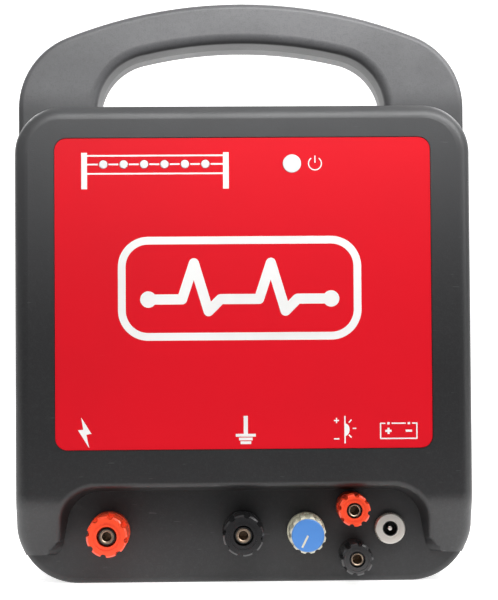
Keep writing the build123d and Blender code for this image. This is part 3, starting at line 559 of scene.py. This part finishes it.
class Print:
    """Flat printed shapes in the label's plane, each a thin closed plate."""

    def __init__(self, back, front):
        self.mesh = bmesh.new()
        self.back, self.front = back, front
        self.plates = 0

    def plate(self, outline):
        """A plate from an outline of (x, z) points; neighbours differ a little in height."""
        face = self.front + (self.plates % PLATE_STEPS) * PLATE_STEP
        self.plates += 1
        near = [self.mesh.verts.new((x, face, z)) for x, z in outline]
        far = [self.mesh.verts.new((x, self.back, z)) for x, z in outline]
        self.mesh.faces.new(near)
        self.mesh.faces.new(far[::-1])
        for i in range(len(outline)):
            j = (i + 1) % len(outline)
            self.mesh.faces.new((near[j], near[i], far[i], far[j]))

    def disc(self, x, z, r, steps=RING_STEPS):
        turns = [2 * pi * i / steps for i in range(steps)]
        self.plate([(x + r * cos(turn), z + r * sin(turn)) for turn in turns])

    def line(self, points, width):
        """Straight strokes along points, with round joints."""
        half = width / 2
        for (x0, z0), (x1, z1) in zip(points, points[1:]):
            along = Vector((x1 - x0, z1 - z0)).normalized()
            side = Vector((-along.y, along.x)) * half
            self.plate([(x0 - side.x, z0 - side.y), (x1 - side.x, z1 - side.y),
                        (x1 + side.x, z1 + side.y), (x0 + side.x, z0 + side.y)])
        for x, z in points[1:-1]:
            self.disc(x, z, half, steps=20)

    def arc(self, x, z, r, start, end, width, steps=40):
        """A stroke along an arc."""
        places = [start + (end - start) * i / steps for i in range(steps + 1)]
        inner, outer = r - width / 2, r + width / 2
        for a, b in zip(places, places[1:]):
            corners = ((inner, a), (outer, a), (outer, b), (inner, b))
            self.plate([(x + reach * cos(angle), z + reach * sin(angle))
                        for reach, angle in corners])

    def finish(self, name):
        bmesh.ops.recalc_face_normals(self.mesh, faces=self.mesh.faces)
        mesh = bpy.data.meshes.new(name)
        self.mesh.to_mesh(mesh)
        self.mesh.free()
        return mesh


def fence_sign(ink, line):
    """Two posts and three wires; the middle wire passes from lamp to lamp."""
    post_width, post_below, post_above = 2.4 * MM, 10.3 * MM, 4.9 * MM
    wire_width, wire_heights = line * 0.75, (3.6 * MM, -3.9 * MM)
    lamps, lamp_overlap = 6, 0.1 * MM
    z = (LAMPS_LOW.z + LAMPS_HIGH.z) / 2
    first, last = LAMPS_LOW.x - 5.6 * MM, LAMPS_HIGH.x + 6.25 * MM
    for x in (first, last):
        ink.line([(x, z - post_below), (x, z + post_above)], post_width)
    for height in wire_heights:
        ink.line([(first, z + height), (last, z + height)], wire_width)
    lamp_r = (LAMPS_HIGH.z - LAMPS_LOW.z) / 2
    low, high = LAMPS_LOW.x + lamp_r, LAMPS_HIGH.x - lamp_r
    stops = [low + (high - low) * i / (lamps - 1) for i in range(lamps)]
    clear = lamp_r - lamp_overlap
    edges = [first] + [edge for x in stops for edge in (x - clear, x + clear)] + [last]
    for a, b in zip(edges[::2], edges[1::2]):
        ink.line([(a, z), (b, z)], wire_width)


def power_sign(ink, line):
    """An open ring with a bar in its gap, beside the status lens."""
    lens, stroke, gap = middle("status_lens"), line * 0.5, radians(36)
    x, z, r = lens.x + 9.6 * MM, lens.z, 2.7 * MM
    bar_low, bar_over = 0.3 * MM, 0.6 * MM
    ink.arc(x, z, r, pi / 2 + gap, 5 * pi / 2 - gap, stroke)
    ink.line([(x, z + bar_low), (x, z + r + bar_over)], stroke)


def bolt_sign(ink):
    """A lightning bolt over the fence terminal."""
    x, z = middle("fence_post_cap").x - 9.1 * MM, LABEL_LOW.z + 7.2 * MM
    outline = ((-1.43, 6.35), (-0.64, 1.32), (-2.8, 1.11), (1.85, -6.35), (0.69, -0.79),
               (2.8, -0.42))
    ink.plate([(x + dx * MM, z + dz * MM) for dx, dz in outline])


def earth_sign(ink, line):
    """A stem on three shortening bars over the earth terminal."""
    x, z = middle("earth_post_cap").x + 1.3 * MM, LABEL_LOW.z + 5.7 * MM
    stem, stem_width, bar_width = 8.0 * MM, line * 1.9, line * 1.3
    bars = ((4.15, 0.0), (2.8, -1.53), (2.2, -3.06))  # half length and height, in millimetres
    ink.line([(x, z), (x, z + stem)], stem_width)
    for half, dz in bars:
        ink.line([(x - half * MM, z + dz * MM), (x + half * MM, z + dz * MM)], bar_width)


def solar_sign(ink, line):
    """Plus and minus beside half a sun, over the solar terminals."""
    x, z = middle("solar_plus_post_cap").x - 3.4 * MM, LABEL_LOW.z + 7.7 * MM
    stem, sun_x, sun_z = 5.7 * MM, 1.9 * MM, 2.6 * MM
    rays = (((3.2, 0.5), (4.7, 0.5)), ((1.6, 2.9), (2.7, 4.1)), ((1.6, -2.1), (2.7, -3.3)))
    sign_x, sign_z, sign_half = -3.5 * MM, 3.8 * MM, 1.1 * MM
    ink.line([(x, z - stem), (x, z + stem)], line)
    ink.plate([(x + sun_x * cos(radians(a)), z + sun_z * sin(radians(a)))
               for a in range(-90, 91, 10)])
    for ray in rays:
        ink.line([(x + dx * MM, z + dz * MM) for dx, dz in ray], line)
    for dz in (sign_z, -sign_z):
        ink.line([(x + sign_x - sign_half, z + dz), (x + sign_x + sign_half, z + dz)], line)
    ink.line([(x + sign_x, z + sign_z - sign_half), (x + sign_x, z + sign_z + sign_half)], line)


def battery_sign(ink, line, bold):
    """A battery with its two poles, over the power jack."""
    jack_x = middle("dc_jack_nut").x
    left, right = jack_x - 5.0 * MM, jack_x + 10.1 * MM
    low, high = LABEL_LOW.z + 3.9 * MM, LABEL_LOW.z + 10.2 * MM
    pole_inset, half, notch = 3.3 * MM, 1.3 * MM, 0.5 * MM
    plus, minus = left + pole_inset, right - pole_inset
    ink.line([(plus - half, high), (left, high), (left, low), (right, low), (right, high),
              (minus + half, high)], line)
    ink.line([(plus + half, high), (minus - half, high)], line)
    z = (low + high) / 2
    for pole in (plus, minus):
        ink.line([(pole - half, z), (pole + half, z)], bold)
        ink.line([(pole - notch, high), (pole + notch, high)], bold)
    ink.line([(plus, z - half), (plus, z + half)], bold)
    ink.line([(plus, high - notch), (plus, high + notch)], bold)


def pulse_badge(ink):
    """A plain rounded frame around a pulse line, in the middle of the label."""
    centre = (LABEL_LOW + LABEL_HIGH) / 2
    x, z = centre.x - 1.5 * MM, centre.z + 2.0 * MM
    half_x, half_z, r, stroke = 49.0 * MM, 20.0 * MM, 11.0 * MM, 3.2 * MM
    pulse_width, pulse_rise, end_r = 4.2 * MM, 1.5, 3.4 * MM
    pulse = [(-38, -6), (-24, -6), (-19, 9), (-13, -11), (-8, -6), (8, -6), (13, 9), (19, -11),
             (24, -6), (38, -6)]
    for sx in (-1, 1):
        ink.line([(x + sx * half_x, z - half_z + r), (x + sx * half_x, z + half_z - r)], stroke)
        ink.line([(x - half_x + r, z + sx * half_z), (x + half_x - r, z + sx * half_z)], stroke)
    for sx, sz, start in ((1, 1, 0), (-1, 1, pi / 2), (-1, -1, pi), (1, -1, 3 * pi / 2)):
        ink.arc(x + sx * (half_x - r), z + sz * (half_z - r), r, start, start + pi / 2, stroke, 20)
    places = [(x + dx * MM, z + (dz + pulse_rise) * MM) for dx, dz in pulse]
    ink.line(places, pulse_width)
    for end in (places[0], places[-1]):
        ink.disc(*end, end_r)


# ---- geometry nodes: what repeats around a ring ----------------------------------------------
def ring_of_teeth_tree():
    """Diamond teeth standing round a circle in the XY plane, along Z."""
    tree = bpy.data.node_groups.new("Ring Of Teeth", "GeometryNodeTree")
    sockets = (("Count", "NodeSocketInt"), ("Radius", "NodeSocketFloat"),
               ("Tooth", "NodeSocketFloat"), ("Length", "NodeSocketFloat"),
               ("Material", "NodeSocketMaterial"))
    for title, kind in sockets:
        tree.interface.new_socket(title, in_out="INPUT", socket_type=kind)
    tree.interface.new_socket("Geometry", in_out="OUTPUT", socket_type="NodeSocketGeometry")
    given, made = tree.nodes.new("NodeGroupInput"), tree.nodes.new("NodeGroupOutput")
    circle = tree.nodes.new("GeometryNodeMeshCircle")
    tooth = tree.nodes.new("GeometryNodeMeshCylinder")
    tooth.inputs["Vertices"].default_value = 4
    place = tree.nodes.new("GeometryNodeInputPosition")
    turn = tree.nodes.new("FunctionNodeAlignRotationToVector")
    turn.axis = "X"
    spread = tree.nodes.new("GeometryNodeInstanceOnPoints")
    real = tree.nodes.new("GeometryNodeRealizeInstances")
    paint = tree.nodes.new("GeometryNodeSetMaterial")
    wire(tree, (given.outputs["Count"], circle.inputs["Vertices"]),
         (given.outputs["Radius"], circle.inputs["Radius"]),
         (given.outputs["Tooth"], tooth.inputs["Radius"]),
         (given.outputs["Length"], tooth.inputs["Depth"]),
         (place.outputs["Position"], turn.inputs["Vector"]),
         (circle.outputs["Mesh"], spread.inputs["Points"]),
         (tooth.outputs["Mesh"], spread.inputs["Instance"]),
         (turn.outputs["Rotation"], spread.inputs["Rotation"]),
         (spread.outputs["Instances"], real.inputs["Geometry"]),
         (real.outputs["Geometry"], paint.inputs["Geometry"]),
         (given.outputs["Material"], paint.inputs["Material"]),
         (paint.outputs["Geometry"], made.inputs["Geometry"]))
    return tree


def baked(name, tree, values, place):
    """Runs a node tree once, and gives its result as a plain mesh moved to its place."""
    holder = bpy.data.objects.new(f"{name}_maker", bpy.data.meshes.new(f"{name}_empty"))
    bpy.context.scene.collection.objects.link(holder)
    modifier = holder.modifiers.new(name, "NODES")
    modifier.node_group = tree
    sockets = {item.name: item.identifier for item in tree.interface.items_tree
               if item.in_out == "INPUT"}
    for title, value in values.items():
        modifier[sockets[title]] = value
    graph = bpy.context.evaluated_depsgraph_get()
    mesh = bpy.data.meshes.new_from_object(holder.evaluated_get(graph))
    holder.modifiers.remove(modifier)
    bpy.data.objects.remove(holder)
    mesh.transform(place)
    return mesh


# ---- operators -------------------------------------------------------------------------------
class EnergizerCase(Operator):
    """Gives the two shells their grained plastic, and the screws and gasket theirs"""
    bl_idname = "energizer.case"
    bl_label = "Finish Case"

    def execute(self, context):
        clad(case_plastic(context.scene.energizer_case), "front_shell", "rear_shell")
        clad(metal("zinc_plated_steel", (0.56, 0.56, 0.57), 0.34, depth=0.15), "shell_screws",
             "board_screws")
        clad(moulded("gasket_rubber", (0.02, 0.02, 0.02), 0.7), "shell_gasket")
        return {"FINISHED"}


class EnergizerLabel(Operator):
    """Lays the red film, its printed signs and the lenses behind it"""
    bl_idname = "energizer.label"
    bl_label = "Print Label"

    def execute(self, context):
        look = context.scene.energizer_label
        clad(label_film(look), "label")
        ink = Print(LABEL_FACE, LABEL_FACE - look.ink_height)
        fence_sign(ink, look.line)
        power_sign(ink, look.line)
        bolt_sign(ink)
        earth_sign(ink, look.line)
        solar_sign(ink, look.line * 0.6)
        battery_sign(ink, look.line * 0.6, look.line)
        pulse_badge(ink)
        white = moulded("white_ink", look.ink, 0.42, grain=1500.0, depth=0.05, wear=0.1)
        new_piece("label_signs", ink.finish("label_signs"), white, slot="lens_white")
        lens = moulded("white_lens", (0.80, 0.82, 0.82), 0.22, coat=0.3, depth=0.04, wear=0.1)
        clad(lens, "status_lens", "level_lamps")
        clad(moulded("clear_led", (0.75, 0.82, 0.70), 0.12, coat=0.5, depth=0.02), "status_led")
        return {"FINISHED"}


class EnergizerTerminals(Operator):
    """Finishes the four screw terminals and what holds them behind the panel"""
    bl_idname = "energizer.terminals"
    bl_label = "Finish Terminals"

    def execute(self, context):
        look = context.scene.energizer_terminals
        red = moulded("red_terminal_plastic", look.red, 0.30, coat=0.25, depth=0.06)
        black = moulded("black_terminal_plastic", look.black, 0.24, coat=0.35, depth=0.06)
        posts = {"fence_post": red, "solar_plus_post": red, "earth_post": black,
                 "solar_minus_post": black}
        brass = metal("threaded_brass", look.stud, 0.30, band=pi / (10 * look.thread), depth=0.6,
                      tarnish=0.5)
        nickel = metal("nickel_plate", (0.74, 0.72, 0.68), 0.20, depth=0.08)
        for post, plastic in posts.items():
            clad(plastic, f"{post}_cap", f"{post}_collar")
            clad(brass, f"{post}_stud")
            clad(nickel, f"{post}_clamp_washer")
        clad(nickel, "large_post_nuts", "small_post_nuts", "ring_tags")
        clad(metal("black_oxide", (0.05, 0.05, 0.05), 0.5, depth=0.1), "large_stop_rings",
             "small_stop_rings")
        clad(moulded("insulating_bush", (0.02, 0.02, 0.02), 0.4), "large_rear_bushes",
             "small_rear_bushes")
        return {"FINISHED"}


class EnergizerKnob(Operator):
    """Finishes the level knob and its potentiometer"""
    bl_idname = "energizer.knob"
    bl_label = "Finish Knob"

    def execute(self, context):
        look = context.scene.energizer_knob
        clad(moulded("blue_knob_cap", look.cap, 0.38, grain=1400.0, depth=0.12), "knob_cap")
        clad(moulded("cream_knob_body", look.body, 0.42, grain=1400.0, depth=0.10), "knob_body")
        clad(metal("pressed_steel", (0.5, 0.5, 0.5), 0.38), "pot_body", "transformer_strap")
        clad(metal("turned_shaft", (0.68, 0.68, 0.68), 0.28, band=900.0, depth=0.2), "pot_shaft",
             "pot_nut")
        return {"FINISHED"}


class EnergizerJack(Operator):
    """Finishes the power jack and cuts the knurl around its nut"""
    bl_idname = "energizer.jack"
    bl_label = "Finish Jack"

    def execute(self, context):
        look = context.scene.energizer_jack
        knurl_share, knurl_back = 0.62, 0.05 * MM
        tooth_sunk, tooth_size = 0.4, 1.4
        plate = metal("jack_nickel", (0.84, 0.80, 0.74), 0.30, depth=0.10)
        clad(plate, "dc_jack_nut", "dc_jack_shell", "dc_jack_pin")
        clad(moulded("jack_insert", (0.012, 0.012, 0.012), 0.3), "dc_jack_core")
        centre = (JACK_LOW + JACK_HIGH) / 2
        radius = (JACK_HIGH.x - JACK_LOW.x) / 2
        run = (JACK_HIGH.y - JACK_LOW.y) * knurl_share
        knurl_middle = JACK_HIGH.y - run / 2 - knurl_back
        place = (Matrix.Translation((centre.x, knurl_middle, centre.z))
                 @ Matrix.Rotation(pi / 2, 4, "X"))
        values = {"Count": look.teeth, "Radius": radius - look.tooth * tooth_sunk,
                  "Tooth": look.tooth * tooth_size, "Length": run, "Material": plate}
        mesh = baked("jack_knurl", ring_of_teeth_tree(), values, place)
        new_piece("jack_knurl", mesh, None, slot="nickel")
        return {"FINISHED"}


class EnergizerInsides(Operator):
    """Finishes the boards, the transformer, the parts on the board and the leads"""
    bl_idname = "energizer.insides"
    bl_label = "Finish Insides"

    def execute(self, context):
        clad(circuit_board(), "main_board", "display_board")
        clad(banded("stacked_laminations", (0.20, 0.19, 0.18), (0.06, 0.06, 0.06), 300.0, "Z", 0.45,
                    0.8), "transformer_core")
        clad(banded("wound_copper", (0.56, 0.26, 0.09), (0.30, 0.11, 0.03), 180.0, "Y", 0.35, 0.6),
             "transformer_coil")
        clad(moulded("capacitor_sleeve", (0.02, 0.05, 0.13), 0.25, coat=0.4), "storage_capacitor",
             "input_capacitor")
        clad(moulded("ferrite", (0.05, 0.05, 0.05), 0.6, depth=0.3), "flyback_transformer")
        clad(metal("extruded_heatsink", (0.66, 0.66, 0.68), 0.36, band=350.0, axis="X"), "heatsink")
        clad(moulded("chip_resin", (0.018, 0.018, 0.018), 0.5, depth=0.2), "thyristor",
             "controller_chip")
        clad(moulded("white_plug", (0.74, 0.72, 0.64), 0.4), "lead_plugs")
        clad(moulded("red_lead", (0.50, 0.012, 0.010), 0.42), "fence_lead")
        clad(moulded("black_lead", (0.015, 0.015, 0.015), 0.42), "earth_lead", "supply_leads",
             "signal_leads")
        return {"FINISHED"}


# Each soft light: name, place, what it aims at, size, its setting of power and a share of that.
LIGHTS = (
    ("top_softbox", (0.10, -0.24, TOP + 0.13), (0, 0, TOP - 0.01), (0.6, 0.16), "top_power", 1.0),
    ("side_softbox", (-0.75, -0.25, 0.28), (0, 0, 0.13), (0.25, 0.6), "side_power", 0.4),
    ("side_softbox", (0.75, -0.25, 0.28), (0, 0, 0.13), (0.25, 0.6), "side_power", 1.6),
    ("front_softbox", (-0.35, -0.9, 0.55), (0, -0.04, 0.06), (0.4, 0.4), "front_power", 1.0),
    ("rim_strip", (0.05, 0.30, TOP + 0.22), (0, -0.04, TOP - 0.05), (0.9, 0.12), "rim_power", 1.0),
)
SKY_EDGE = (-0.1, 0.7)  # where the sky's light begins and where it is full
FLOOR_HALF, FLOOR_FRONT, FLOOR_BACK = 2.2, -1.6, 0.9
BEND, WALL_TOP = 0.5, 1.9  # radius between the floor and the wall, and the wall's height
SHADED_FLOOR = (0.05, 0.05, 0.05)
FLOOR_LIT = (-0.17, -0.085)  # from dark in front of the object to pale under and behind it
CAMERA_PLACE, CAMERA_AIM = Vector((-0.009, -0.692, 0.102)), Vector((0.0023, -0.042, 0.1192))
CAMERA_LENS, CAMERA_SENSOR, CAMERA_ROLL = 62.6, 24.0, radians(-0.4)


def area_light(name, place, aim, size, power):
    data = bpy.data.lights.new(name, "AREA")
    data.shape = "RECTANGLE"
    data.size, data.size_y = size
    data.energy = power
    light = bpy.data.objects.new(name, data)
    light.location = place
    light.rotation_euler = (Vector(aim) - Vector(place)).to_track_quat("-Z", "Y").to_euler()
    bpy.context.scene.collection.objects.link(light)


class EnergizerStage(Operator):
    """Sets the floor and the wall behind, the soft lights and the camera"""
    bl_idname = "energizer.stage"
    bl_label = "Set Stage"

    def execute(self, context):
        scene, look = context.scene, context.scene.energizer_stage
        self.backdrop(look)
        world = bpy.data.worlds.new("studio")
        world.use_nodes = True
        self.sky(world.node_tree, look)
        scene.world = world
        for name, place, aim, size, power, part in LIGHTS:
            area_light(name, place, aim, size, getattr(look, power) * part)
        scene.view_settings.view_transform = "Standard"
        self.camera(scene)
        return {"FINISHED"}

    def sky(self, tree, look):
        """An even light that grows from the horizon upwards."""
        place = tree.nodes.new("ShaderNodeTexCoord")
        split = tree.nodes.new("ShaderNodeSeparateXYZ")
        wire(tree, (place.outputs["Generated"], split.inputs[0]))
        up = ramp(tree, split.outputs["Z"], *SKY_EDGE)
        strength = maths(tree, "MULTIPLY_ADD", up, look.sky - look.horizon, look.horizon)
        wire(tree, (strength, tree.nodes["Background"].inputs["Strength"]))
        tree.nodes["Background"].inputs["Color"].default_value = (1.0, 1.0, 1.0, 1.0)

    def backdrop(self, look):
        """A floor, dark in front and pale behind, that curves up into a wall."""
        profile = [(FLOOR_FRONT, 0.0), (FLOOR_BACK, 0.0)]
        profile += [(FLOOR_BACK + BEND * sin(radians(a)), BEND - BEND * cos(radians(a)))
                    for a in range(10, 91, 10)]
        profile += [(FLOOR_BACK + BEND, WALL_TOP)]
        mesh = bpy.data.meshes.new("backdrop")
        points = [(x, y, z) for y, z in profile for x in (-FLOOR_HALF, FLOOR_HALF)]
        faces = [(2 * i, 2 * i + 1, 2 * i + 3, 2 * i + 2) for i in range(len(profile) - 1)]
        mesh.from_pydata(points, [], faces)
        mesh.polygons.foreach_set("use_smooth", [True] * len(faces))
        floor = bpy.data.objects.new("backdrop", mesh)
        bpy.context.scene.collection.objects.link(floor)
        paint = Finish("pale_backdrop", look.floor, roughness=0.9)
        mottle = paint.group("grain", scale=40.0).outputs["Mottle"]
        paint.tint(mottle, shade(look.floor, 0.985), strength=0.5)
        split = paint.tree.nodes.new("ShaderNodeSeparateXYZ")
        wire(paint.tree, (paint.vector, split.inputs[0]))
        lit = ramp(paint.tree, split.outputs["Y"], *FLOOR_LIT)
        paint.tint(maths(paint.tree, "SUBTRACT", 1.0, lit), SHADED_FLOOR)
        wire(paint.tree, (paint.colour, paint.shader.inputs["Emission Color"]))
        paint.shader.inputs["Emission Strength"].default_value = look.glow
        mesh.materials.append(paint.material)
        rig.stage(floor)

    def camera(self, scene):
        """A level view from the front, a little left of the middle, about 0.65 m away."""
        data = bpy.data.cameras.new("camera")
        data.sensor_fit = "VERTICAL"
        data.sensor_height = CAMERA_SENSOR
        data.lens = CAMERA_LENS
        camera = bpy.data.objects.new("camera", data)
        camera.location = CAMERA_PLACE
        look = (CAMERA_AIM - CAMERA_PLACE).to_track_quat("-Z", "Y").to_matrix().to_4x4()
        camera.rotation_euler = (look @ Matrix.Rotation(CAMERA_ROLL, 4, "Z")).to_euler()
        scene.collection.objects.link(camera)
        scene.camera = camera


class EnergizerPanel(Panel):
    bl_idname = "VIEW3D_PT_energizer"
    bl_label = "Fence Energizer"
    bl_space_type = "VIEW_3D"
    bl_region_type = "UI"
    bl_category = "Energizer"

    def draw(self, context):
        layout = self.layout
        for operator, look in STEPS:
            box = layout.box()
            box.operator(operator.bl_idname)
            settings = getattr(context.scene, look, None) if look else None
            for name in (settings.bl_rna.properties.keys() if settings else ()):
                if name not in ("rna_type", "name"):
                    box.prop(settings, name)


LOOKS = {
    "energizer_case": CaseLook,
    "energizer_label": LabelLook,
    "energizer_terminals": TerminalLook,
    "energizer_knob": KnobLook,
    "energizer_jack": JackLook,
    "energizer_stage": StageLook,
}
STEPS = (
    (EnergizerStage, "energizer_stage"),
    (EnergizerCase, "energizer_case"),
    (EnergizerLabel, "energizer_label"),
    (EnergizerTerminals, "energizer_terminals"),
    (EnergizerKnob, "energizer_knob"),
    (EnergizerJack, "energizer_jack"),
    (EnergizerInsides, None),
)
CLASSES = (*LOOKS.values(), *(operator for operator, _ in STEPS), EnergizerPanel)


def register():
    for cls in CLASSES:
        bpy.utils.register_class(cls)
    for name, look in LOOKS.items():
        setattr(bpy.types.Scene, name, PointerProperty(type=look))


def unregister():
    for name in LOOKS:
        delattr(bpy.types.Scene, name)
    for cls in reversed(CLASSES):
        bpy.utils.unregister_class(cls)


def main():
    register()
    for operator, _ in STEPS:
        group, name = operator.bl_idname.split(".")
        getattr(getattr(bpy.ops, group), name)()
    boxes = {"cad": [list(corner) for corner in CAD_BOX],
             "visual": [list(corner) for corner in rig.bounds()]}
    with open("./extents.json", "w") as out:
        json.dump(boxes, out)


if __name__ == "__main__":
    main()
